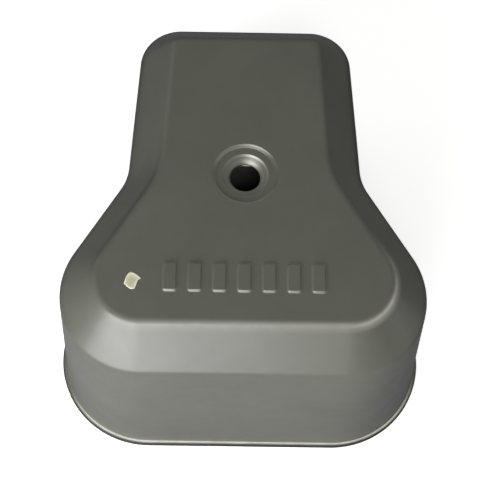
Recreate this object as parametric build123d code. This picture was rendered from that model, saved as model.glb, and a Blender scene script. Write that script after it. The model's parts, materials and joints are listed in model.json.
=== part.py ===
from build123d import *
from math import atan, cos, degrees, hypot, radians, sin
import os

# Pressed engine valve cover: one deep-drawn steel shell with a wide front and a narrow rear.
# Frame: X across, -Y to the wide front, +Z up. The origin is where the axis of the centre
# bolt meets the sealing plane, which is also the middle of the cover's footprint.
# All sizes are in millimetres, all angles in degrees.

# Plan outline, taken at the shoulder where the wall turns into the sloping band
shoulder_length = 143.5
rear_width = 81.0
front_width = 134.0
side_flare = 3.2
cheek_angle = 59.0
rear_corner_radius = 16.0
waist_radius = 20.5
front_corner_radius = 30.5

# Upright section
height = 90.0
band_height = 16.2
band_width = 13.5
wall_draft = 3.5
shoulder_radius = 3.0
brow_radius = 3.5

# Sheet and trimmed rim
sheet = 2.0
lip_width = 1.7
lip_bevel = 0.9
mouth_chamfer = 0.8

# Stepped bolt seat coined into the middle of the top
bolt_hole_diameter = 11.0
hole_edge_bevel = 1.3
seat_diameter = 24.6
seat_depth = 1.1
dish_diameter = 17.2
dish_depth = 1.3

# Row of plain raised bars pressed into the front of the top
bar_count = 7
bar_pitch = 8.8
bar_width = 5.2
bar_length = 11.2
bar_rise = 0.7
bar_flank = 40.0
bar_row_from_bolt = 41.3


def meet(first, second):
    """Point where two lines cross, each given as (normal x, normal y, distance from the origin)."""
    ax, ay, a = first
    bx, by, b = second
    det = ax * by - ay * bx
    return (a * by - b * ay) / det, (ax * b - bx * a) / det


def plan_outline(grow):
    """Closed plan outline with every side moved outwards by grow and the arcs kept concentric."""
    flare = radians(side_flare)
    cheek = radians(cheek_angle)
    half_length = shoulder_length / 2
    centre_x = front_width / 2 - front_corner_radius
    centre_y = front_corner_radius - half_length
    side_reach = rear_width / 2 * cos(flare) + half_length * sin(flare)
    cheek_reach = centre_x * sin(cheek) + centre_y * cos(cheek) + front_corner_radius
    rear_line = (0.0, 1.0, half_length + grow)
    side_line = (cos(flare), sin(flare), side_reach + grow)
    cheek_line = (sin(cheek), cos(cheek), cheek_reach + grow)
    front_line = (0.0, -1.0, half_length + grow)
    right = [
        meet(cheek_line, front_line),
        meet(side_line, cheek_line),
        meet(rear_line, side_line),
    ]
    left = [(-x, y) for x, y in reversed(right)]
    radii = [front_corner_radius + grow, waist_radius - grow, rear_corner_radius + grow]
    edge = FilletPolyline(*right, *left, radius=radii + radii[::-1], close=True)
    return make_face(edge)


def section(inset):
    """Base, shoulder and brow of the section as (grow, height), moved into the sheet by inset."""
    draft = radians(wall_draft)
    slope = hypot(band_width, band_height)
    shoulder_height = height - band_height
    ground = (0.0, 1.0, 0.0)
    wall = (cos(draft), sin(draft), shoulder_height * sin(draft) - inset)
    band = (band_height / slope, band_width / slope, shoulder_height * band_width / slope - inset)
    top = (0.0, 1.0, height - inset)
    return meet(wall, ground), meet(wall, band), meet(band, top)


def drawn_form(inset):
    """Solid block inside the skin that lies inset below the outer surface, with rounded edges."""
    base, shoulder, brow = section(inset)
    wall = extrude(plan_outline(base[0]), amount=shoulder[1], taper=wall_draft)
    band_taper = degrees(atan((shoulder[0] - brow[0]) / (brow[1] - shoulder[1])))
    band = extrude(
        Pos(0, 0, shoulder[1]) * plan_outline(shoulder[0]),
        amount=brow[1] - shoulder[1],
        taper=band_taper,
    )
    block = wall + band
    shoulder_edges = block.edges().filter_by(lambda edge: abs(edge.center().Z - shoulder[1]) < 0.01)
    block = fillet(shoulder_edges, shoulder_radius - inset)
    brow_edges = block.edges().filter_by(lambda edge: abs(edge.center().Z - brow[1]) < 0.01)
    return fillet(brow_edges, brow_radius - inset)


def flat_face_at(body, level):
    """The horizontal face of a body at the given height that has a closed inner edge."""
    faces = body.faces().filter_by(GeomType.PLANE)
    faces = faces.filter_by(lambda face: abs(face.center().Z - level) < 0.01)
    return faces.filter_by(lambda face: len(face.inner_wires()) == 1)[0]


def lipped_form():
    """Outer block with the short lip turned outwards all round the foot of the wall."""
    lip = extrude(plan_outline(section(0.0)[0][0] + lip_width), amount=sheet)
    block = (drawn_form(0.0) + lip).solid()
    foot = flat_face_at(block, sheet).inner_wires()[0].edges()
    return block.chamfer(lip_bevel, None, foot)


def hollow_form():
    """Outer block with the cavity taken out, leaving the sheet, and the cavity's mouth eased."""
    shell = (lipped_form() - drawn_form(sheet)).solid()
    mouth = flat_face_at(shell, 0.0).inner_wires()[0].edges()
    return shell.chamfer(mouth_chamfer, None, mouth)


def bolt_seat():
    """Coined seat: a shallow ring step, a dish inside it and the bevelled edge of the bolt hole."""
    ring_floor = height - seat_depth
    ledge = ring_floor - dish_depth
    hole = bolt_hole_diameter / 2
    steps = Polyline(
        (seat_diameter / 2 + sheet, height),
        (seat_diameter / 2, height),
        (seat_diameter / 2 - seat_depth, ring_floor),
        (dish_diameter / 2, ring_floor),
        (dish_diameter / 2 - dish_depth, ledge),
        (hole, ledge),
    )
    strip = make_face(offset(steps, amount=sheet, kind=Kind.INTERSECTION, side=Side.LEFT))
    seat = revolve(Plane.XZ * strip, axis=Axis.Z)
    hole_edge = seat.edges().filter_by(GeomType.CIRCLE).filter_by(
        lambda edge: abs(edge.radius - hole) < 0.01 and abs(edge.center().Z - ledge) < 0.01
    )
    return chamfer(hole_edge, hole_edge_bevel)


def bar_row(size_change, level):
    """Row of plain bars with sloping flanks on a given level, each side moved out by size_change."""
    outline = Rectangle(bar_width + 2 * size_change, bar_length + 2 * size_change)
    bar = extrude(outline, amount=bar_rise, taper=bar_flank)
    places = GridLocations(bar_pitch, bar_length, bar_count, 1)
    return [Pos(0, -bar_row_from_bolt, level) * place * bar for place in places]


def cover_shell():
    """The whole pressed cover as one closed solid."""
    seat_opening = Pos(0, 0, height) * Cylinder(seat_diameter / 2 + sheet, height)
    shell = hollow_form() - seat_opening + bolt_seat()
    shell = shell + bar_row(0.0, height)
    return shell - bar_row(-bar_rise / 2, height - sheet)


if __name__ == "__main__":
    os.makedirs("parts", exist_ok=True)
    export_step(cover_shell(), "parts/cover_shell.step")
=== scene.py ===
"""Looks of a deep-drawn steel engine valve cover, and the plain studio that shows it.

The cover is one sheet of steel: a wall with a little draft, a sloping band, a flat top with a
coined bolt seat and a row of plain raised bars, and a trimmed lip round the foot. Its skin is
worked out with numpy as profiles carried along the plan outline, in millimetres, and becomes one
closed mesh in metres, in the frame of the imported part.
"""

import json
import logging
import math
from collections.abc import Sequence
from dataclasses import dataclass
from enum import Enum

import bmesh
import bpy
import numpy as np
from mathutils import Matrix, Vector
from mathutils.geometry import delaunay_2d_cdt

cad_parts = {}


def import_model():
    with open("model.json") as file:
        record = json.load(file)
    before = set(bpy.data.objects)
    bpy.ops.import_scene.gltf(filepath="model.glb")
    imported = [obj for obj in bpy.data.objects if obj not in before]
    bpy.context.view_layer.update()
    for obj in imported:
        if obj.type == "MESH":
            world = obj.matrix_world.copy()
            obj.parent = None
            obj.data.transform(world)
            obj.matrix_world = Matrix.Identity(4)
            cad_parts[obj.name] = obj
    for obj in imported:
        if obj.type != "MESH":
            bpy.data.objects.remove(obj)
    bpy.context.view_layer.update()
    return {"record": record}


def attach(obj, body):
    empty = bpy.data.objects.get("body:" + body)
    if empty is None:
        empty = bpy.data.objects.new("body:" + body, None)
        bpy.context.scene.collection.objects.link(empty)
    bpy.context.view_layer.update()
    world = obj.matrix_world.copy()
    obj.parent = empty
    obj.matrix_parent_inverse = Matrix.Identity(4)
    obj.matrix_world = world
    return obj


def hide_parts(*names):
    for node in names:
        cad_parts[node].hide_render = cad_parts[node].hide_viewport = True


MM = 0.001
NODE = "cover_shell"
BODY = "root"
LOG = logging.getLogger("valve_cover")

# Points that fill a flat: the distance of their rows and the least gap to a rim, as shares of the
# spacing in a row, and the distance in millimetres at which the triangulation joins two points.
ROW_SHARE = 0.87
GAP_SHARE = 0.6
SNAP = 1e-6
# Upward part of a normal at which a surface starts to count as level. At 1 it is fully level.
LEVEL_FROM = 0.9
# Keeps a run that is a whole number of steps long from getting one step too many by rounding.
ROUNDING = 1e-9


class Ray(Enum):
    """Kinds of ray that the floor and the room tell apart, by their sockets' names."""

    CAMERA = "Is Camera Ray"
    GLASS = "Is Transmission Ray"
    GLOSS = "Is Glossy Ray"
    SHARP = "Is Singular Ray"


@dataclass
class Patch:
    """Points and faces of one stretch of surface, in millimetres.

    Args:
        points: Array of shape (n, 3).
        faces: Lists of point numbers, one for each face.
        tone: Colour shift at each point: up to 1 towards a pale colour, down to -1 towards a
        dark one. On the cover it is painted highlight and painted shade, on the dab its thick
        rim. None makes it 0 all over.
    """

    points: np.ndarray
    faces: list[list[int]]
    rub: np.ndarray | None = None

    def __post_init__(self) -> None:
        """Gives a patch with no colour shift its zeros."""
        if self.rub is None:
            self.rub = np.zeros(len(self.points))


def srgb(code: str) -> tuple[float, float, float, float]:
    """Linear colour of an sRGB hex code.

    Each channel c in 0..1 becomes c / 12.92 below 0.04045, else ((c + 0.055) / 1.055) ** 2.4.

    Args:
        code: Six hex digits after a hash sign.

    Returns:
        Red, green, blue and an alpha of 1.
    """
    channels = np.array([int(code[k:k + 2], 16) for k in (1, 3, 5)]) / 255.0
    linear = np.where(channels < 0.04045, channels / 12.92, ((channels + 0.055) / 1.055) ** 2.4)
    return (*linear.tolist(), 1.0)


def add_node(
    tree: bpy.types.NodeTree,
    kind: str,
    inputs: dict[str | int, object] | None = None,
    **settings: object,
) -> bpy.types.Node:
    """Adds one shader node with its settings, values and links.

    Args:
        tree: The node tree it goes into.
        kind: Blender's name of the node type, without its "ShaderNode".
        inputs: For each input socket, a plain value or the output socket that feeds it.
        settings: Properties of the node itself.

    Returns:
        The new node.
    """
    node = tree.nodes.new(f"ShaderNode{kind}")
    for name, value in settings.items():
        setattr(node, name, value)
    for key, value in (inputs or {}).items():
        if isinstance(value, bpy.types.NodeSocket):
            tree.links.new(value, node.inputs[key])
        else:
            node.inputs[key].default_value = value
    return node


def blank_material(name: str) -> tuple[bpy.types.Material, bpy.types.NodeTree]:
    """New material of that name with an empty node tree, and the tree."""
    material = bpy.data.materials.new(name)
    material.use_nodes = True
    material.node_tree.nodes.clear()
    return material, material.node_tree


def linked_object(name: str, data: bpy.types.ID) -> bpy.types.Object:
    """New object of that name with the given data, linked to the scene."""
    made = bpy.data.objects.new(name, data)
    bpy.context.scene.collection.objects.link(made)
    return made


def bearing(azimuth: float, elevation: float) -> Vector:
    """Unit vector (sin a cos e, -cos a cos e, sin e) for azimuth a and elevation e in radians.

    Azimuth 0 points to the front of the cover and a quarter turn to its right.
    """
    flat = math.cos(elevation)
    return Vector((math.sin(azimuth) * flat, -math.cos(azimuth) * flat, math.sin(elevation)))


def sees_background(tree: bpy.types.NodeTree) -> bpy.types.NodeSocket:
    """Marks the rays that see the plain white background: camera, glass and mirror-sharp gloss.

    The broad gloss of satin paint isn't among them, so that the lamps alone light the paint.

    Args:
        tree: Node tree of the floor or the room.

    Returns:
        Socket that is 1 for those rays and 0 for all others.
    """
    rays = add_node(tree, "LightPath").outputs
    mirror = add_node(
        tree, "Math", {0: rays[Ray.GLOSS.value], 1: rays[Ray.SHARP.value]}, operation="MULTIPLY"
    ).outputs[0]
    clear = add_node(
        tree, "Math", {0: rays[Ray.CAMERA.value], 1: rays[Ray.GLASS.value]}, operation="MAXIMUM"
    ).outputs[0]
    return add_node(tree, "Math", {0: mirror, 1: clear}, operation="MAXIMUM").outputs[0]


def unit(vectors: np.ndarray) -> np.ndarray:
    """Vectors divided by their lengths."""
    return vectors / np.linalg.norm(vectors, axis=-1, keepdims=True)


def heading(angle: np.ndarray | float) -> np.ndarray:
    """Unit vector (cos a, sin a) of each angle in radians."""
    return np.stack([np.cos(angle), np.sin(angle)], axis=-1)


def bell(distance: np.ndarray, spread: float) -> np.ndarray:
    """Bell curve exp(-(d / s)^2): 1 at distance 0, and about a 50th at twice the spread s."""
    return np.exp(-((distance / spread) ** 2))


def ramp(value: np.ndarray, start: np.ndarray | float, length: float) -> np.ndarray:
    """Share that is 0 up to the start, grows evenly over the length and stays 1 after it."""
    return np.clip((value - start) / length, 0.0, 1.0)


def meet(first: Sequence[float], second: Sequence[float]) -> np.ndarray:
    """Point where two lines cross.

    Each line is the set of points p with n . p = d, so the point solves two such equations.

    Args:
        first: Normal x, normal y and distance of one line.
        second: The same for the other line.

    Returns:
        The point (x, y).
    """
    lines = np.array([first, second], dtype=float)
    return np.linalg.solve(lines[:, :2], lines[:, 2])


def between(start: np.ndarray, end: np.ndarray, step: float) -> np.ndarray:
    """Even points strictly inside a straight run, no further apart than step."""
    count = max(1, math.ceil(float(np.linalg.norm(end - start)) / step - ROUNDING))
    share = np.arange(1, count)[:, None] / count
    return start + (end - start) * share


def rounded_path(
    corners: np.ndarray, radii: Sequence[float], step: float, turn_step: float
) -> np.ndarray:
    """Polyline whose inner corners are replaced by tangent arcs.

    At a corner with unit directions a in and b out and turn t, the arc starts r tan(t/2) before
    the corner and its points are start + r m + r (a sin f - m cos f) for f from 0 to t, where m
    is the unit normal of a on the side that the path turns to.

    Args:
        corners: Array of shape (n, 2).
        radii: One radius for each inner corner.
        step: Longest stretch between two points of a straight run.
        turn_step: Largest turn between two points of an arc, in radians.

    Returns:
        Points of the path, shape (m, 2), both ends included.
    """
    pieces = [corners[:1]]
    last = corners[0]
    for before, corner, after, radius in zip(corners, corners[1:], corners[2:], radii):
        a, b = unit(corner - before), unit(after - corner)
        side = 1.0 if a[0] * b[1] - a[1] * b[0] > 0 else -1.0
        turn = math.acos(float(np.clip(a @ b, -1.0, 1.0)))
        m = side * np.array([-a[1], a[0]])
        start = corner - a * radius * math.tan(turn / 2)
        f = np.linspace(0.0, turn, max(3, math.ceil(turn / turn_step) + 1))[:, None]
        arc = start + radius * m + radius * (a * np.sin(f) - m * np.cos(f))
        pieces += [between(last, start, step), arc]
        last = arc[-1]
    pieces += [between(last, corners[-1], step), corners[-1:]]
    return np.concatenate(pieces)


def parallel_corners(corners: np.ndarray, distance: float) -> np.ndarray:
    """Corners of a polyline moved to its left side by a distance.

    With n1 and n2 the unit left normals of the runs that meet at a corner, the corner moves by
    distance (n1 + n2) / (1 + n1 . n2); an end moves by distance times its one normal.

    Args:
        corners: Array of shape (n, 2).
        distance: How far to the left each run moves.

    Returns:
        Array of the moved corners, shape (n, 2).
    """
    runs = unit(np.diff(corners, axis=0))
    left = np.stack([-runs[:, 1], runs[:, 0]], axis=1)
    n1, n2 = np.vstack([left[:1], left]), np.vstack([left, left[-1:]])
    share = 1.0 + np.sum(n1 * n2, axis=1, keepdims=True)
    return corners + distance * (n1 + n2) / share


def carried(points: np.ndarray, normals: np.ndarray, profile: np.ndarray) -> np.ndarray:
    """Surface of a profile carried along a plan curve.

    The point for station i and profile point (u, z) is the plan point moved by u along its
    outward normal, at height z.

    Args:
        points: Plan points, shape (n, 2).
        normals: Their outward unit normals, shape (n, 2).
        profile: Outward reach u and height z, shape (m, 2).

    Returns:
        Array of shape (n, m, 3).
    """
    plan = points[:, None, :] + normals[:, None, :] * profile[None, :, :1]
    rise = np.broadcast_to(profile[None, :, 1:], (len(points), len(profile), 1))
    return np.concatenate([plan, rise], axis=2)


def lattice(grid: np.ndarray, rub: np.ndarray) -> Patch:
    """Patch of four-sided faces over a grid of points, whose last row joins up with the first.

    Args:
        grid: Points of shape (n, m, 3).
        tone: Colour shift at each point, shape (n, m).

    Returns:
        The patch.
    """
    rows, columns = grid.shape[:2]
    number = np.arange(rows * columns).reshape(rows, columns)
    number = np.vstack([number, number[:1]])
    faces = np.stack(
        [number[:-1, :-1], number[1:, :-1], number[1:, 1:], number[:-1, 1:]], axis=-1
    ).reshape(-1, 4)
    return Patch(grid.reshape(-1, 3), faces.tolist(), rub.ravel())


def inside(points: np.ndarray, loop: np.ndarray) -> np.ndarray:
    """Whether each point lies in a closed loop.

    It does when a ray from it towards +X crosses the loop an odd number of times.

    Args:
        points: Array of shape (n, 2).
        loop: Array of shape (m, 2).

    Returns:
        Array of n truth values.
    """
    ax, ay = loop.T
    bx, by = np.roll(loop, -1, axis=0).T
    px, py = points[:, :1], points[:, 1:]
    spans = (ay > py) != (by > py)
    lean = np.divide(bx - ax, by - ay, out=np.zeros_like(ax), where=by != ay)
    return (spans & (px < ax + (py - ay) * lean)).sum(axis=1) % 2 == 1


def pierced_flat(
    outer: np.ndarray, holes: Sequence[np.ndarray], height: float, spacing: float
) -> Patch:
    """Level sheet of triangles between an outer loop and the loops of its holes.

    A lattice of points in offset rows fills the sheet, clear of every loop, and the triangles
    are the constrained ones of Delaunay's rule whose middles lie in the sheet.

    Args:
        outer: Outer loop, shape (n, 2).
        holes: Loops of the holes, each of shape (m, 2).
        height: Level of the sheet.
        spacing: Distance between neighbouring points of the lattice.

    Returns:
        The patch.
    """
    loops = [outer, *holes]
    low, high = outer.min(axis=0), outer.max(axis=0)
    x, y = np.meshgrid(
        np.arange(low[0], high[0], spacing), np.arange(low[1], high[1], spacing * ROW_SHARE)
    )
    x[1::2] += spacing / 2
    fill = np.stack([x.ravel(), y.ravel()], axis=1)
    rims = np.concatenate(loops)
    gap = np.linalg.norm(fill[:, None, :] - rims[None, :, :], axis=2).min(axis=1)
    keep = inside(fill, outer) & (gap > GAP_SHARE * spacing)
    for hole in holes:
        keep &= ~inside(fill, hole)
    points = np.concatenate([rims, fill[keep]])
    starts = np.cumsum([0, *[len(loop) for loop in loops]])
    edges = np.concatenate([
        np.stack([np.arange(a, b), np.roll(np.arange(a, b), -1)], axis=1)
        for a, b in zip(starts, starts[1:])
    ])
    made = delaunay_2d_cdt(
        [Vector(p) for p in points.tolist()], edges.tolist(), [], 0, SNAP, False
    )
    flat = np.array(made[0], dtype=float)
    faces = np.array(made[2])
    middles = flat[faces].mean(axis=1)
    keep = inside(middles, outer)
    for hole in holes:
        keep &= ~inside(middles, hole)
    level = np.full((len(flat), 1), height)
    return Patch(np.hstack([flat, level]), faces[keep].tolist())


def cap(rim: np.ndarray) -> Patch:
    """One many-sided face inside a loop of points of shape (n, 3)."""
    return Patch(rim, [list(range(len(rim)))])


def welded_mesh(name: str, patches: Sequence[Patch], weld: float) -> bpy.types.Object:
    """Closed, smooth mesh object of several patches that share their rims.

    Each point carries two numbers for the paint: the colour shift of its patch, which paints
    highlights and shade on the cover and marks the thick rim of the dab, and "level", which is 1
    where the surface faces straight up and 0 where its normal leans past LEVEL_FROM.

    Args:
        name: Name of the object and its mesh.
        patches: The patches, in millimetres.
        weld: Points nearer than this, in millimetres, become one.

    Returns:
        The object, linked to the scene, in metres.
    """
    starts = np.cumsum([0, *[len(p.points) for p in patches]])
    points = np.concatenate([p.points for p in patches]) * MM
    faces = [[k + start for k in face] for p, start in zip(patches, starts) for face in p.faces]
    mesh = bpy.data.meshes.new(name)
    mesh.from_pydata(points.tolist(), [], faces)
    rub = mesh.attributes.new("rub", "FLOAT", "POINT")
    rub.data.foreach_set("value", np.concatenate([p.rub for p in patches]).astype(np.float32))
    work = bmesh.new()
    work.from_mesh(mesh)
    bmesh.ops.remove_doubles(work, verts=work.verts, dist=weld * MM)
    bmesh.ops.recalc_face_normals(work, faces=work.faces)
    work.to_mesh(mesh)
    work.free()
    mesh.shade_smooth()
    normals = np.zeros(3 * len(mesh.vertices), dtype=np.float32)
    mesh.vertices.foreach_get("normal", normals)
    level = mesh.attributes.new("level", "FLOAT", "POINT")
    level.data.foreach_set("value", ramp(normals[2::3], LEVEL_FROM, 1.0 - LEVEL_FROM))
    return linked_object(name, mesh)


@dataclass
class PlanOutline:
    """Plan outline of the cover at its shoulder: a wide front, slanting cheeks and a narrow rear.

    Straight front, cheek, side and rear lines are joined by arcs. The waist arc is hollow, the
    corners are full, and the left half mirrors the right one.
    """

    shoulder_length: float = 143.5
    rear_width: float = 81.0
    front_width: float = 134.0
    side_flare: float = 3.2
    cheek_angle: float = 59.0
    rear_corner_radius: float = 16.0
    waist_radius: float = 20.5
    front_corner_radius: float = 30.5
    turn_step: float = 3.5
    run_step: float = 3.5

    def bends(self) -> list[tuple[np.ndarray, float, float, float]]:
        """Centre, reach, first and last facing of the right-hand arcs from front to rear.

        Facings are the directions of the outward normal in radians. The waist has a negative
        reach, because its centre lies outside the cover. Each centre lies where the lines beside
        it, moved towards it by the radius, cross.

        Returns:
            One tuple for each arc.
        """
        half = self.shoulder_length / 2
        side, cheek = math.radians(self.side_flare), math.radians(90.0 - self.cheek_angle)
        front = np.array([self.front_width / 2, -half])
        front += self.front_corner_radius * np.array([-1.0, 1.0])
        cheek_reach = heading(cheek) @ front + self.front_corner_radius
        side_reach = heading(side) @ np.array([self.rear_width / 2, half])
        waist = meet(
            (*heading(cheek), cheek_reach + self.waist_radius),
            (*heading(side), side_reach + self.waist_radius),
        )
        rear = meet(
            (*heading(side), side_reach - self.rear_corner_radius),
            (0.0, 1.0, half - self.rear_corner_radius),
        )
        return [
            (front, self.front_corner_radius, -math.pi / 2, cheek),
            (waist, -self.waist_radius, cheek, side),
            (rear, self.rear_corner_radius, side, math.pi / 2),
        ]

    def stations(self) -> tuple[np.ndarray, np.ndarray]:
        """Points round the outline and their outward normals, from the middle of the front.

        An arc's point is its centre plus the reach times the heading of its facing; a straight
        run keeps the facing of the arc before it.

        Returns:
            Two arrays of shape (n, 2).
        """
        half = self.shoulder_length / 2
        last, facing = np.array([0.0, -half]), -math.pi / 2
        points, facings = [last[None]], [np.array([facing])]
        for centre, reach, first, final in self.bends():
            count = math.ceil(abs(final - first) / math.radians(self.turn_step)) + 1
            angles = np.linspace(first, final, count)
            arc = centre + reach * heading(angles)
            run = between(last, arc[0], self.run_step)
            points += [run, arc]
            facings += [np.full(len(run), facing), angles]
            last, facing = arc[-1], final
        run = between(last, np.array([0.0, half]), self.run_step)
        points += [run, np.array([[0.0, half]])]
        facings += [np.full(len(run) + 1, facing)]
        right, normals = np.concatenate(points), heading(np.concatenate(facings))
        mirror = np.array([-1.0, 1.0])
        return (
            np.concatenate([right, right[-2:0:-1] * mirror]),
            np.concatenate([normals, normals[-2:0:-1] * mirror]),
        )


@dataclass(frozen=True)
class SkirtPaintedLight:
    """Painted highlights and painted shade on the skirt's folds, in millimetres.

    Painted highlights lie on the brow at the right front corner and along the front, and on the top
    of the front lip. Painted shade lies on the lip's cut edge, as a dark line along the left cheek's
    brow, and on the shoulder of the sides and the rear. A bare name is a stretch's share of the full
    pale or dark colour. Spreads and lengths are those of bell and tanh curves, and a fade is the
    length over which a stretch sets in. The starts of front and lip count forwards from the bolt,
    the shoulder's backwards.
    """

    brow_shift: float = 1.0
    brow_spread: float = 0.9
    corner: float = 0.65
    corner_place: tuple[float, float] = (47.0, -47.0)
    corner_spread: tuple[float, float] = (11.0, 14.0)
    front: float = 0.15
    front_start: float = 52.0
    front_fade: float = 4.0
    dark_brow: float = 0.36
    dark_brow_spread: float = 1.5
    dark_brow_place: float = -14.0
    dark_brow_length: float = 23.0
    shoulder: float = 0.58
    shoulder_spread: float = 2.4
    shoulder_swing: float = 0.14
    swing_place: float = 20.0
    swing_length: float = 15.0
    shoulder_start: float = -52.0
    shoulder_fade: float = 14.0
    lip: float = 0.78
    lip_rest: float = 0.03
    lip_start: float = 46.0
    lip_fade: float = 5.0
    lip_slant: float = 1.5
    slant_length: float = 20.0
    lip_root: float = 0.25
    lip_rim: float = 0.6
    cut_rim: float = 0.45


@dataclass
class DrawnSection:
    """Upright section of the drawn shell, from the flat top down to the lip and up inside."""

    height: float = 90.0
    band_height: float = 16.2
    band_width: float = 13.5
    wall_draft: float = 3.5
    shoulder_radius: float = 3.0
    brow_radius: float = 3.5
    sheet: float = 2.0
    lip_width: float = 1.7
    foot_bend: float = 0.9
    lip_roll: float = 0.5
    lip_edge: float = 0.2
    mouth_bend: float = 0.9
    flat_edge: float = -15.6
    run_step: float = 3.0
    turn_step: float = 5.0
    painted_light: SkirtPaintedLight = SkirtPaintedLight()

    def corners(self, inset: float) -> np.ndarray:
        """Base, shoulder and brow as (outward reach, height), moved into the sheet by inset."""
        draft = math.radians(self.wall_draft)
        shoulder = self.height - self.band_height
        slope = math.hypot(self.band_width, self.band_height)
        wall = (math.cos(draft), math.sin(draft), shoulder * math.sin(draft) - inset)
        band = (
            self.band_height / slope,
            self.band_width / slope,
            shoulder * self.band_width / slope - inset,
        )
        ground, top = (0.0, 1.0, 0.0), (0.0, 1.0, self.height - inset)
        return np.array([meet(wall, ground), meet(wall, band), meet(band, top)])

    def profile(self) -> np.ndarray:
        """Closed skin of the section as one path, from the flat top's rim to the flat under it.

        Returns:
            Outward reach and height of each point, shape (m, 2).
        """
        base, shoulder, brow = self.corners(0.0)
        mouth, inner_shoulder, inner_brow = self.corners(self.sheet)
        foot = base + (shoulder - base) * self.sheet / shoulder[1]
        path = np.array([
            (self.flat_edge, self.height),
            brow,
            shoulder,
            foot,
            (base[0] + self.lip_width, self.sheet),
            (base[0] + self.lip_width, 0.0),
            mouth,
            inner_shoulder,
            inner_brow,
            (self.flat_edge, self.height - self.sheet),
        ])
        radii = [
            self.brow_radius,
            self.shoulder_radius,
            self.foot_bend,
            self.lip_roll,
            self.lip_edge,
            self.mouth_bend,
            self.shoulder_radius - self.sheet,
            self.brow_radius - self.sheet,
        ]
        return rounded_path(path, radii, self.run_step, math.radians(self.turn_step))

    def rub(self, grid: np.ndarray, profile: np.ndarray) -> np.ndarray:
        """Painted highlights and painted shade of the skirt: bell curves across its folds, which set
        in and fade along the plan.

        Places in plan are those of the profile's first point, the rim of the flat top, and the
        swing is a tanh curve that makes the painted shade darker towards the rear right.

        Args:
            grid: Points of the skirt, shape (n, m, 3).
            profile: Its profile, shape (m, 2).

        Returns:
            Array of shape (n, m).
        """
        painted_light = self.painted_light
        base, shoulder, brow = self.corners(0.0)
        reach, height = profile.T
        edge = base[0] + self.lip_width
        outer = np.arange(len(profile)) < np.argmax(reach)
        fold = brow + painted_light.brow_shift * unit(shoulder - brow)
        off_brow = np.linalg.norm(profile - fold, axis=1)
        off_shoulder = np.linalg.norm(profile - shoulder, axis=1)
        lip = (reach > base[0] + painted_light.lip_root) & (reach < edge - painted_light.lip_rim)
        lip &= height > self.sheet / 2
        cut = reach > edge - painted_light.cut_rim

        x, y = grid[:, 0, 0], grid[:, 0, 1]
        corner = bell(x - painted_light.corner_place[0], painted_light.corner_spread[0])
        corner *= painted_light.corner * bell(y - painted_light.corner_place[1], painted_light.corner_spread[1])
        front = painted_light.front * ramp(-y, painted_light.front_start, painted_light.front_fade)
        painted_highlight = np.maximum(corner, front)
        dark_brow = painted_light.dark_brow * bell(y - painted_light.dark_brow_place, painted_light.dark_brow_length) * (x < 0.0)
        swing = np.tanh((x + y - painted_light.swing_place) / painted_light.swing_length)
        painted_shade = painted_light.shoulder + painted_light.shoulder_swing * swing
        painted_shade *= ramp(y, painted_light.shoulder_start, painted_light.shoulder_fade)
        start = painted_light.lip_start - painted_light.lip_slant * np.tanh(x / painted_light.slant_length)
        bright = painted_light.lip * np.maximum(ramp(-y, start, painted_light.lip_fade), painted_light.lip_rest)

        # Painted highlights on the front brow and the front lip; painted shade on the left brow, the
        # shoulder and the cut edge.
        share = painted_highlight[:, None] * bell(off_brow, painted_light.brow_spread)
        share = share - dark_brow[:, None] * bell(off_brow, painted_light.dark_brow_spread)
        share = share - painted_shade[:, None] * bell(off_shoulder, painted_light.shoulder_spread)
        return share * outer + bright[:, None] * lip - cut


@dataclass(frozen=True)
class SeatPaintedLight:
    """Painted highlights and painted shade on the seat, in shares of the full pale colour, degrees
    and millimetres.

    Angles turn from the right over the rear. The sector holds the painted highlights, with shares
    for the dish's level and slanting parts and for the brim. All slopes get a share all round, and
    those outside the dish one more towards the front and painted shade to the right. Painted shade
    covers the hole's wall up to hole_height above its lower edge.
    """

    sector: float = 66.0
    sector_spread: float = 24.0
    dish_level: float = 0.15
    dish_slope: float = 0.80
    brim: float = 0.60
    all_round: float = 0.10
    front: float = 0.20
    right: float = 0.34
    right_place: float = 2.0
    right_power: int = 5
    hole_height: float = 0.85


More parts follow.
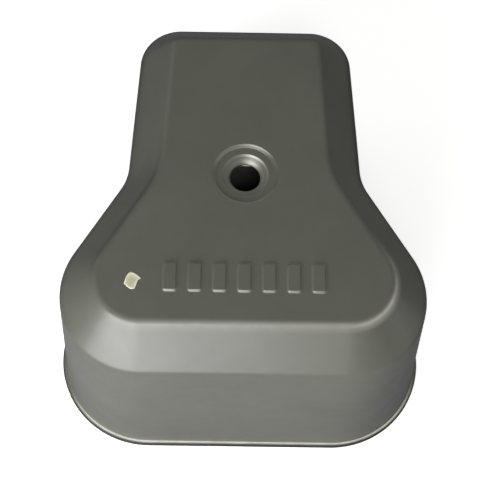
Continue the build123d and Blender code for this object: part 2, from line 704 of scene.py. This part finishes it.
@dataclass
class BoltSeat:
    """Coined seat in the middle of the top: ring step, dish, ledge and the hole's soft edge."""

    hole_diameter: float = 11.0
    seat_diameter: float = 24.6
    seat_depth: float = 1.1
    dish_diameter: float = 17.2
    dish_depth: float = 1.3
    dish_step: float = 0.6
    hole_edge: float = 2.2
    crease: float = 0.4
    burr: float = 0.25
    stations: int = 112
    run_step: float = 0.8
    turn_step: float = 9.0
    painted_light: SeatPaintedLight = SeatPaintedLight()

    def profile(self, top: float, sheet: float) -> np.ndarray:
        """Path from the flat top through the seat and the hole and back along the underside.

        The underside's corners are the upper ones moved down through the sheet.

        Args:
            top: Height of the flat top.
            sheet: Thickness of the sheet.

        Returns:
            Radius and height of each point, shape (m, 2).
        """
        hole, seat, dish = self.hole_diameter / 2, self.seat_diameter / 2, self.dish_diameter / 2
        ring = top - self.seat_depth
        ledge = ring - self.dish_depth
        upper = np.array([
            (seat + self.crease, top),
            (seat, top),
            (seat - self.seat_depth, ring),
            (dish, ring),
            (dish - self.dish_step, ring - self.dish_step),
            (hole, ledge),
        ])
        under = parallel_corners(upper, sheet)
        under[0, 0] = under[1, 0] + self.crease
        under[-1] = hole, ledge - sheet
        path = np.vstack([upper, under[::-1]])
        bends = [self.crease] * 4 + [self.hole_edge, self.burr] + [self.crease] * 4
        return rounded_path(path, bends, self.run_step, math.radians(self.turn_step))

    def patch(self, top: float, sheet: float) -> tuple[Patch, np.ndarray, np.ndarray]:
        """The seat turned about the bolt's axis, with its upper and lower rims in plan.

        Args:
            top: Height of the flat top.
            sheet: Thickness of the sheet.

        Returns:
            The patch, the upper rim and the lower rim.
        """
        turn = np.linspace(0.0, 2 * math.pi, self.stations, endpoint=False)
        around, profile = heading(turn), self.profile(top, sheet)
        grid = carried(np.zeros_like(around), around, profile)
        return lattice(grid, self.rub(turn, profile)), grid[:, 0, :2], grid[:, -1, :2]

    def rub(self, turn: np.ndarray, profile: np.ndarray) -> np.ndarray:
        """Painted highlights, most on brim and dish at the rear, and painted shade on the hole's
        edge.

        With f the slope's angle from level, a fold counts by sin 2f, which is 1 at 45 degrees and
        0 on level and upright parts.

        Args:
            turn: Angle of each station, 90 degrees at the rear, in radians.
            profile: The seat's profile, shape (m, 2).

        Returns:
            Array of shape (n, m).
        """
        painted_light = self.painted_light
        reach, height = profile.T
        along, fall = np.abs(np.gradient(profile, axis=0)).T
        slope = np.sin(2 * np.arctan2(fall, along))
        upper = np.arange(len(profile)) < np.argmin(height)
        dish = reach < self.dish_diameter / 2
        brim = (height > height[0] - self.seat_depth / 2) & upper
        hole = (height < height.min() + painted_light.hole_height) & upper & dish
        share = np.where(dish, painted_light.dish_level + painted_light.dish_slope * slope, 0.0) * upper
        share = np.where(brim, painted_light.brim * slope, share)

        # Painted highlights in the rear sector and on the front slopes, painted shade on the right
        # slopes and in the hole.
        sector = bell(turn - math.radians(painted_light.sector), math.radians(painted_light.sector_spread))
        front = painted_light.front * np.clip(-np.sin(turn), 0.0, 1.0)
        right = np.clip(np.cos(turn - math.radians(painted_light.right_place)), 0.0, 1.0)
        ring = front - painted_light.right * right**painted_light.right_power
        rub = sector[:, None] * share + painted_light.all_round * slope * upper
        rub = rub + ring[:, None] * (upper & ~dish) * slope
        return np.where(hole, -1.0, rub)


@dataclass(frozen=True)
class BarPaintedLight:
    """Painted highlights on the bars' flanks, as shares of the full pale colour, and their reach in
    millimetres.

    The front flank's share falls by front_step with each bar to the right. The stretch starts
    at foot outside the bar's outline and ends at cap below its top.
    """

    front: float = 0.17
    front_step: float = 0.018
    rear: float = 0.13
    right: float = 0.07
    foot: float = 0.2
    cap: float = 0.01


@dataclass
class BarRow:
    """Row of plain bars pressed up into the front of the top, each with its pocket beneath."""

    count: int = 7
    pitch: float = 8.8
    width: float = 5.2
    length: float = 11.2
    rise: float = 0.7
    flank: float = 40.0
    from_bolt: float = 41.3
    plan_radius: float = 1.2
    foot_bend: float = 0.5
    edge_bend: float = 0.35
    corner_points: int = 8
    run_step: float = 0.4
    turn_step: float = 9.0
    painted_light: BarPaintedLight = BarPaintedLight()

    def ring(self, grow: float) -> tuple[np.ndarray, np.ndarray]:
        """Rounded rectangle of one bar's foot, grown outwards, and its outward normals."""
        quarter = np.repeat(np.arange(4), self.corner_points)
        turn = np.tile(np.linspace(0.0, 1.0, self.corner_points), 4)
        normals = heading((quarter + turn) * math.pi / 2)
        side = np.array([[1, 1], [-1, 1], [-1, -1], [1, -1]])[quarter]
        reach = np.array([self.width, self.length]) / 2 + grow - self.plan_radius
        return side * reach + normals * self.plan_radius, normals

    def patches(self, level: float, grow: float) -> tuple[list[Patch], list[np.ndarray]]:
        """Bars that rise from a level, each with its cap, and the loops of their feet in plan.

        The flank leans by its angle from upright, so the top draws in by rise times its tangent.
        Its painted highlight goes by the parts of its normal to the front, squared, to the rear and
        to the right.

        Args:
            level: Height that the bars rise from.
            grow: How far each bar's foot is grown outwards.

        Returns:
            The patches and the loops.
        """
        draw_in = self.rise * math.tan(math.radians(self.flank))
        path = np.array([
            (self.foot_bend, level),
            (0.0, level),
            (-draw_in, level + self.rise),
            (-draw_in - self.edge_bend, level + self.rise),
        ])
        bends = [self.foot_bend, self.edge_bend]
        profile = rounded_path(path, bends, self.run_step, math.radians(self.turn_step))
        points, normals = self.ring(grow)
        grid = carried(points, normals, profile)
        painted_light = self.painted_light
        flank = (profile[:, 0] < painted_light.foot) & (profile[:, 1] < level + self.rise - painted_light.cap)
        front, rear = np.clip(-normals[:, 1], 0.0, 1.0), np.clip(normals[:, 1], 0.0, 1.0)
        right = np.clip(normals[:, 0], 0.0, 1.0)
        patches, loops = [], []
        for step in np.arange(self.count) - (self.count - 1) / 2:
            placed = grid + np.array([step * self.pitch, -self.from_bolt, 0.0])
            # Painted highlights on the flanks that face the front, the rear and the right.
            share = (painted_light.front - painted_light.front_step * step) * front**2
            share = share + painted_light.rear * rear + painted_light.right * right
            patches += [lattice(placed, share[:, None] * flank), cap(placed[:, -1])]
            loops.append(placed[:, 0, :2])
        return patches, loops


@dataclass
class SheetWaves:
    """Slow waves, a tenth of a millimetre deep, that a deep draw leaves in flat panels.

    The plan shrinks by a share that grows with height and swings with two sine waves, and the
    height by a share that swings with two others. The rim stays flat and in place, nothing
    reaches past the true form, and the sheet keeps its thickness. A wave's lengths, in
    millimetres, are those over which it turns by one radian along the axes that it runs across.
    """

    pinch: float = 0.0016
    sink: float = 0.0012
    side_lengths: tuple[float, float, float, float] = (11.0, 19.0, 13.0, 17.0)
    top_lengths: tuple[float, float, float, float] = (16.0, 24.0, 27.0, 12.0)
    top_phase: float = 1.0

    def applied(self, points: np.ndarray, height: float) -> np.ndarray:
        """Points of shape (n, 3) moved by the waves of a shell of that height."""
        x, y, z = points.T
        rise = z / height
        a, b, c, d = self.side_lengths
        side = 0.5 + (np.sin(x / a + y / b) + np.sin(y / c - z / d)) / 4
        a, b, c, d = self.top_lengths
        top = 0.5 + (np.sin(x / a - y / b + self.top_phase) + np.sin(x / c + y / d)) / 4
        plan = 1.0 - self.pinch * rise * side
        upright = 1.0 - self.sink * rise * top
        return np.stack([x * plan, y * plan, z * upright], axis=1)


@dataclass(frozen=True)
class StovingPaint:
    """Satin stoving paint over phosphated drawn steel, sprayed and baked.

    It gives the eye an even warm grey with a broad soft sheen on walls and band, a top made matt
    by dust and overspray, faint clouds where the coat is thicker, a fine orange-peel skin, and pale
    painted highlights and dull dark painted shade on folds, seat and bars. The mesh's colour shift
    and "level" say where. The grain is drawn coarser than the real one, which wouldn't show.
    Sizes and depths are in millimetres, and the details are the octaves of cloud, mottle, peel
    and grain in turn.
    """

    name: str = "satin_stoving_paint_sprayed"
    thick_coat: str = "#53554a"
    thin_coat: str = "#5a5c51"
    # Pale colour of the painted highlights and dark colour of the painted shade.
    painted_highlight: str = "#c8c6ba"
    painted_shade: str = "#1b1c18"
    roughness: float = 0.42
    dusty_roughness: float = 0.66
    roughness_swing: float = 0.08
    ior: float = 1.5
    cloud_size: float = 30.0
    mottle_size: float = 4.0
    mottle_share: float = 0.35
    thick_below: float = 0.40
    thin_above: float = 0.95
    highlight_least: float = 0.5
    highlight_swing: float = 0.8
    peel_size: float = 1.3
    peel_depth: float = 0.012
    grain_size: float = 0.45
    grain_depth: float = 0.003
    details: tuple[float, float, float, float] = (3.0, 2.0, 1.0, 1.0)
    cloud_roughness: float = 0.55

    def material(self) -> bpy.types.Material:
        """The paint as a node material on Object coordinates."""
        paint, tree = blank_material(self.name)
        place = add_node(tree, "TexCoord").outputs["Object"]
        sizes = (self.cloud_size, self.mottle_size, self.peel_size, self.grain_size)
        cloud, mottle, peel, grain = (
            add_node(
                tree, "TexNoise", {"Vector": place, "Scale": 1.0 / (size * MM), "Detail": detail}
            ).outputs["Fac"]
            for size, detail in zip(sizes, self.details)
        )
        cloud.node.inputs["Roughness"].default_value = self.cloud_roughness
        blend = add_node(
            tree, "Math", {0: mottle, 1: self.mottle_share, 2: cloud}, operation="MULTIPLY_ADD"
        ).outputs[0]
        share = add_node(
            tree,
            "MapRange",
            {"Value": blend, "From Min": self.thick_below, "From Max": self.thin_above},
        ).outputs[0]
        coat = add_node(
            tree,
            "Mix",
            {0: share, 6: srgb(self.thick_coat), 7: srgb(self.thin_coat)},
            data_type="RGBA",
        ).outputs[2]
        # The colour shift paints highlights where it is positive and shade where it is negative.
        rub = add_node(tree, "Attribute", attribute_name="rub").outputs["Fac"]
        broken = add_node(
            tree,
            "Math",
            {0: mottle, 1: self.highlight_swing, 2: self.highlight_least},
            operation="MULTIPLY_ADD",
        ).outputs[0]
        highlight_share = add_node(
            tree, "Math", {0: rub, 1: broken}, operation="MULTIPLY", use_clamp=True
        ).outputs[0]
        highlit_coat = add_node(
            tree, "Mix", {0: highlight_share, 6: coat, 7: srgb(self.painted_highlight)}, data_type="RGBA"
        ).outputs[2]
        # Dark painted shade, where the paint is also made rougher.
        shaded = add_node(
            tree, "Math", {0: rub, 1: -1.0}, operation="MULTIPLY", use_clamp=True
        ).outputs[0]
        colour = add_node(
            tree, "Mix", {0: shaded, 6: highlit_coat, 7: srgb(self.painted_shade)}, data_type="RGBA"
        ).outputs[2]
        dust = add_node(tree, "Attribute", attribute_name="level").outputs["Fac"]
        dulled = add_node(tree, "Math", {0: dust, 1: shaded}, operation="MAXIMUM").outputs[0]
        gloss = add_node(
            tree,
            "MapRange",
            {"Value": dulled, "To Min": self.roughness, "To Max": self.dusty_roughness},
        ).outputs[0]
        roughness = add_node(
            tree, "Math", {0: share, 1: -self.roughness_swing, 2: gloss}, operation="MULTIPLY_ADD"
        ).outputs[0]
        fine = add_node(
            tree, "Bump", {"Height": grain, "Distance": self.grain_depth * MM}
        ).outputs[0]
        skin = add_node(
            tree, "Bump", {"Height": peel, "Distance": self.peel_depth * MM, "Normal": fine}
        ).outputs[0]
        shader = add_node(
            tree,
            "BsdfPrincipled",
            {
                "Base Color": colour,
                "Roughness": roughness,
                "IOR": self.ior,
                "Metallic": 0.0,
                "Normal": skin,
            },
        ).outputs[0]
        add_node(tree, "OutputMaterial", {"Surface": shader})
        return paint


@dataclass(frozen=True)
class MarkerPaint:
    """Dried dab of cream marking paint, put on by hand.

    It gives the eye a pale, slightly waxy spot, paler at its thick edge and yellower where the
    brush has thinned it, with fine wrinkles from drying.
    """

    name: str = "cream_marker_paint_dried"
    thick: str = "#ecebd2"
    thin: str = "#bcba96"
    roughness: float = 0.5
    ior: float = 1.47
    streak_size: float = 1.6
    streak_share: float = 0.5
    thin_below: float = 0.2
    thick_above: float = 1.1
    wrinkle_size: float = 0.5
    wrinkle_depth: float = 0.02
    detail: float = 2.0

    def material(self) -> bpy.types.Material:
        """The paint as a node material on Object coordinates and the mesh's colour shift, which is 1
        at the rim.
        """
        paint, tree = blank_material(self.name)
        place = add_node(tree, "TexCoord").outputs["Object"]
        streak, wrinkle = (
            add_node(
                tree,
                "TexNoise",
                {"Vector": place, "Scale": 1.0 / (size * MM), "Detail": self.detail},
            ).outputs["Fac"]
            for size in (self.streak_size, self.wrinkle_size)
        )
        rim = add_node(tree, "Attribute", attribute_name="rub").outputs["Fac"]
        share = add_node(
            tree, "Math", {0: streak, 1: self.streak_share, 2: rim}, operation="MULTIPLY_ADD"
        ).outputs[0]
        share = add_node(
            tree,
            "MapRange",
            {"Value": share, "From Min": self.thin_below, "From Max": self.thick_above},
        ).outputs[0]
        colour = add_node(
            tree, "Mix", {0: share, 6: srgb(self.thin), 7: srgb(self.thick)}, data_type="RGBA"
        ).outputs[2]
        skin = add_node(
            tree, "Bump", {"Height": wrinkle, "Distance": self.wrinkle_depth * MM}
        ).outputs[0]
        shader = add_node(
            tree,
            "BsdfPrincipled",
            {
                "Base Color": colour,
                "Roughness": self.roughness,
                "IOR": self.ior,
                "Metallic": 0.0,
                "Normal": skin,
            },
        ).outputs[0]
        add_node(tree, "OutputMaterial", {"Surface": shader})
        return paint


@dataclass
class CoverSkin:
    """The whole pressed shell as one closed skin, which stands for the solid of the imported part."""

    outline: PlanOutline
    section: DrawnSection
    seat: BoltSeat
    bars: BarRow
    waves: SheetWaves
    paint: StovingPaint
    name: str = "cover_skin"
    upper_fill: float = 3.0
    under_fill: float = 5.0
    weld: float = 0.003

    def patches(self) -> list[Patch]:
        """Skirt, seat, bars, pockets and the two flats between them, in millimetres."""
        top, sheet = self.section.height, self.section.sheet
        profile = self.section.profile()
        skirt = carried(*self.outline.stations(), profile)
        seat, upper_rim, under_rim = self.seat.patch(top, sheet)
        bars, feet = self.bars.patches(top, 0.0)
        pockets, mouths = self.bars.patches(top - sheet, -self.bars.rise / 2)
        return [
            lattice(skirt, self.section.rub(skirt, profile)),
            seat,
            *bars,
            *pockets,
            pierced_flat(skirt[:, 0, :2], [upper_rim, *feet], top, self.upper_fill),
            pierced_flat(skirt[:, -1, :2], [under_rim, *mouths], top - sheet, self.under_fill),
        ]

    def build(self) -> bpy.types.Object:
        """Makes the skin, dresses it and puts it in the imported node's place.

        Returns:
            The finished piece.
        """
        patches = self.patches()
        for patch in patches:
            patch.points = self.waves.applied(patch.points, self.section.height)
        piece = welded_mesh(self.name, patches, self.weld)
        piece.data.materials.append(self.paint.material())
        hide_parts(NODE)
        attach(piece, BODY)
        return piece


@dataclass
class PaintDab:
    """Hand-brushed dab of marking paint on the top, beside the row of bars.

    Its edge is a smooth closed curve through a few points that follow the real dab: a slanting
    blob with a hollow right side and a short tail where the brush was lifted.
    """

    paint: MarkerPaint
    waves: SheetWaves
    name: str = "paint_dab"
    level: float = 90.0
    middle: tuple[float, float] = (-39.9, -43.2)
    edge: tuple[tuple[float, float], ...] = (
        (0.0, 3.4),
        (1.3, 2.8),
        (2.3, 2.1),
        (3.3, 1.1),
        (2.5, 0.6),
        (2.0, -0.5),
        (1.7, -1.7),
        (1.2, -2.8),
        (0.3, -3.0),
        (-0.8, -2.6),
        (-2.4, -1.1),
        (-2.4, -0.3),
        (-1.9, 1.5),
        (-1.0, 3.0),
    )
    steps: int = 8
    rings: int = 14
    core: float = 0.08
    film: float = 0.05
    bead: float = 0.16
    bead_width: float = 0.1
    rooted: float = 0.03
    weld: float = 0.003

    def rim(self) -> np.ndarray:
        """Closed curve through the edge points.

        Between points b and c, with a before and d after them, the curve is the cubic
        b + (c - a) t / 2 + (2a - 5b + 4c - d) t^2 / 2 + (3b - a - 3c + d) t^3 / 2.

        Returns:
            Points of shape (n, 2), round the middle.
        """
        b = np.array(self.edge)[:, None]
        a, c, d = (np.roll(b, shift, axis=0) for shift in (1, -1, -2))
        t = (np.arange(self.steps) / self.steps)[None, :, None]
        curve = b + (c - a) * t / 2
        curve += (2 * a - 5 * b + 4 * c - d) * t**2 / 2
        curve += (3 * b - a - 3 * c + d) * t**3 / 2
        return curve.reshape(-1, 2)

    def build(self) -> bpy.types.Object:
        """Makes the closed dab, dresses it and lets it ride on the cover.

        At share s of the way from middle to edge the film stands film + (bead - film) s^3 high,
        and falls to nothing along a quarter circle over the bead's width. The colour shift is s^4,
        which tells the paint where the thick rim is.

        Returns:
            The finished piece.
        """
        rim = self.rim()
        share = np.sin(np.linspace(self.core, 1.0, self.rings) * math.pi / 2)
        fall = np.sqrt(1.0 - ramp(share, 1.0 - self.bead_width, self.bead_width) ** 2)
        rise = (self.film + (self.bead - self.film) * share**3) * fall
        plan = np.array(self.middle) + rim[:, None, :] * share[None, :, None]
        height = np.broadcast_to(self.level + rise, plan.shape[:2])[..., None]
        grid = np.concatenate([plan, height], axis=2)
        foot = grid[:, -1] * [1.0, 1.0, 0.0] + [0.0, 0.0, self.level - self.rooted]
        grid = np.concatenate([grid, foot[:, None]], axis=1)
        rub = np.tile(np.append(share**4, 1.0), (len(rim), 1))
        patches = [lattice(grid, rub), cap(grid[:, 0]), cap(foot)]
        for patch in patches:
            patch.points = self.waves.applied(patch.points, self.level)
        piece = welded_mesh(self.name, patches, self.weld)
        piece.data.materials.append(self.paint.material())
        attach(piece, BODY)
        return piece


@dataclass
class PhotoCamera:
    """Camera that looks down on the front of the cover from the photograph's angle.

    Angles are in degrees and lengths in millimetres. The picture is square, and focal_pixels is
    the focal length in pixels of a picture that is picture_pixels wide.
    """

    target: tuple[float, float, float] = (-0.48, 13.74, 0.0)
    distance: float = 563.5
    elevation: float = 65.77
    yaw: float = -1.73
    roll: float = 2.47
    focal_pixels: float = 1300.0
    picture_pixels: float = 480.0
    sensor: float = 36.0
    near_clip: float = 10.0

    def build(self) -> bpy.types.Object:
        """Makes the camera the scene's own.

        The camera's right and up are level and upright before they turn by the roll round the
        axis back from the target.

        Returns:
            The camera object.
        """
        yaw, elevation, roll = (math.radians(a) for a in (self.yaw, self.elevation, self.roll))
        back = bearing(yaw, elevation)
        right = Vector((0.0, 0.0, 1.0)).cross(back).normalized()
        up = back.cross(right)
        x = right * math.cos(roll) + up * math.sin(roll)
        y = up * math.cos(roll) - right * math.sin(roll)
        place = Vector(self.target) + back * self.distance
        lens = bpy.data.cameras.new("photo_camera")
        lens.sensor_width = self.sensor
        lens.lens = self.focal_pixels * self.sensor / self.picture_pixels
        lens.clip_start = self.near_clip * MM
        camera = linked_object("photo_camera", lens)
        turn = Matrix((x, y, back)).transposed().to_4x4()
        camera.matrix_world = Matrix.Translation(place * MM) @ turn
        bpy.context.scene.camera = camera
        return camera


@dataclass(frozen=True)
class SoftLamp:
    """Oblong soft box that faces the cover; azimuth 0 stands in front of it, 90 to its right.

    Angles are in degrees, lengths in metres and the power in watts.
    """

    name: str
    azimuth: float
    elevation: float
    distance: float
    width: float
    height: float
    power: float
    colour: str = "#ffffff"

    def build(self, aim: Vector) -> bpy.types.Object:
        """Makes the lamp, unseen by the camera itself.

        Args:
            aim: Point that it faces, in metres.

        Returns:
            The lamp object.
        """
        back = bearing(math.radians(self.azimuth), math.radians(self.elevation))
        light = bpy.data.lights.new(self.name, "AREA")
        light.shape = "RECTANGLE"
        light.size = self.width
        light.size_y = self.height
        light.energy = self.power
        light.color = srgb(self.colour)[:3]
        lamp = linked_object(self.name, light)
        lamp.location = aim + back * self.distance
        lamp.rotation_euler = back.to_track_quat("Z", "Y").to_euler()
        lamp.visible_camera = False
        return lamp


@dataclass
class Studio:
    """Pale paper floor, soft lamps and a dim room round them, with lengths in metres."""

    aim: tuple[float, float, float] = (0.0, 0.0, 0.06)
    floor_half: float = 6.0
    floor_drop: float = 0.0002
    paper: str = "#e6e6e4"
    dim_paper: str = "#8a8a93"
    paper_glow: float = 0.62
    covered_radius: float = 0.05
    shadow_radius: float = 0.16
    clear_radius: float = 0.48
    room: float = 0.12
    lamps: tuple[SoftLamp, ...] = (
        SoftLamp("front_left_box", -28.0, 14.0, 0.435, 0.45, 0.28, 3.65, "#faf8ff"),
        SoftLamp("right_box", 78.0, 11.0, 0.9, 0.54, 0.54, 1.40),
        SoftLamp("rear_box", 160.0, 40.0, 0.9, 0.88, 0.88, 1.70),
        SoftLamp("left_box", -116.0, 36.0, 0.9, 0.90, 0.90, 1.55),
        SoftLamp("top_box", 10.0, 57.0, 0.6, 0.15, 0.15, 0.72),
    )

    def floor(self) -> bpy.types.Object:
        """Level sheet of matt paper, which keeps the cover's shadow.

        The camera sees white paper with a glow of its own: none in the middle, which the cover
        hides, weak round it, where the shadow falls, and full from the clear radius on. The cover
        sees a dimmer sheet.

        Returns:
            The floor object.
        """
        side = self.floor_half
        corners = [(-side, -side), (side, -side), (side, side), (-side, side)]
        mesh = bpy.data.meshes.new("floor")
        mesh.from_pydata([(x, y, -self.floor_drop) for x, y in corners], [], [(0, 1, 2, 3)])
        sheet = linked_object("floor", mesh)
        paper, tree = blank_material("matt_white_paper")
        seen = sees_background(tree)
        place = add_node(tree, "TexCoord").outputs["Object"]
        reach = add_node(tree, "VectorMath", {0: place}, operation="LENGTH").outputs["Value"]
        open_air = add_node(
            tree, "Math", {0: reach, 1: self.covered_radius}, operation="GREATER_THAN"
        ).outputs[0]
        strength = add_node(
            tree,
            "MapRange",
            {
                "Value": reach,
                "From Min": self.shadow_radius,
                "From Max": self.clear_radius,
                "To Min": self.paper_glow,
                "To Max": 1.0,
            },
        ).outputs[0]
        lit = add_node(tree, "Math", {0: open_air, 1: strength}, operation="MULTIPLY").outputs[0]
        glow = add_node(tree, "Math", {0: seen, 1: lit}, operation="MULTIPLY").outputs[0]
        tint = add_node(
            tree, "Mix", {0: seen, 6: srgb(self.dim_paper), 7: srgb(self.paper)}, data_type="RGBA"
        ).outputs[2]
        own = add_node(tree, "Emission", {"Strength": glow}).outputs[0]
        matt = add_node(tree, "BsdfDiffuse", {"Color": tint}).outputs[0]
        both = add_node(tree, "AddShader", {0: matt, 1: own}).outputs[0]
        add_node(tree, "OutputMaterial", {"Surface": both})
        mesh.materials.append(paper)
        return sheet

    def surroundings(self) -> None:
        """World: white to the rays that see the background, a dim even room to all others."""
        world = bpy.data.worlds.new("room")
        world.use_nodes = True
        tree = world.node_tree
        tree.nodes.clear()
        strength = add_node(
            tree, "MapRange", {"Value": sees_background(tree), "To Min": self.room, "To Max": 1.0}
        ).outputs[0]
        white = add_node(
            tree, "Background", {"Color": srgb("#ffffff"), "Strength": strength}
        ).outputs[0]
        add_node(tree, "OutputWorld", {"Surface": white})
        bpy.context.scene.world = world

    def build(self) -> None:
        """Sets up floor, room, lamps and the plain view transform."""
        self.floor()
        self.surroundings()
        for lamp in self.lamps:
            lamp.build(Vector(self.aim))
        bpy.context.scene.view_settings.view_transform = "Standard"


def report(piece: bpy.types.Object) -> None:
    """Logs a piece's name and the size of its mesh."""
    size = ", ".join(f"{length / MM:.1f}" for length in piece.dimensions)
    LOG.info("%s: %d faces, %s mm", piece.name, len(piece.data.polygons), size)


def main() -> None:
    """Builds the cover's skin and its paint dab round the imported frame, then the studio."""
    logging.basicConfig(level=logging.INFO, format="%(message)s")
    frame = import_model()
    mounts = {mount["name"]: mount for mount in frame["record"]["mounts"]}
    bore = 2.0 * mounts["bolt_hole"]["dims"]["r_mm"]
    waves = SheetWaves()
    section = DrawnSection()
    skin = CoverSkin(
        PlanOutline(), section, BoltSeat(hole_diameter=bore), BarRow(), waves, StovingPaint()
    )
    report(skin.build())
    report(PaintDab(MarkerPaint(), waves, level=section.height).build())
    PhotoCamera().build()
    Studio().build()


if __name__ == "__main__":
    main()
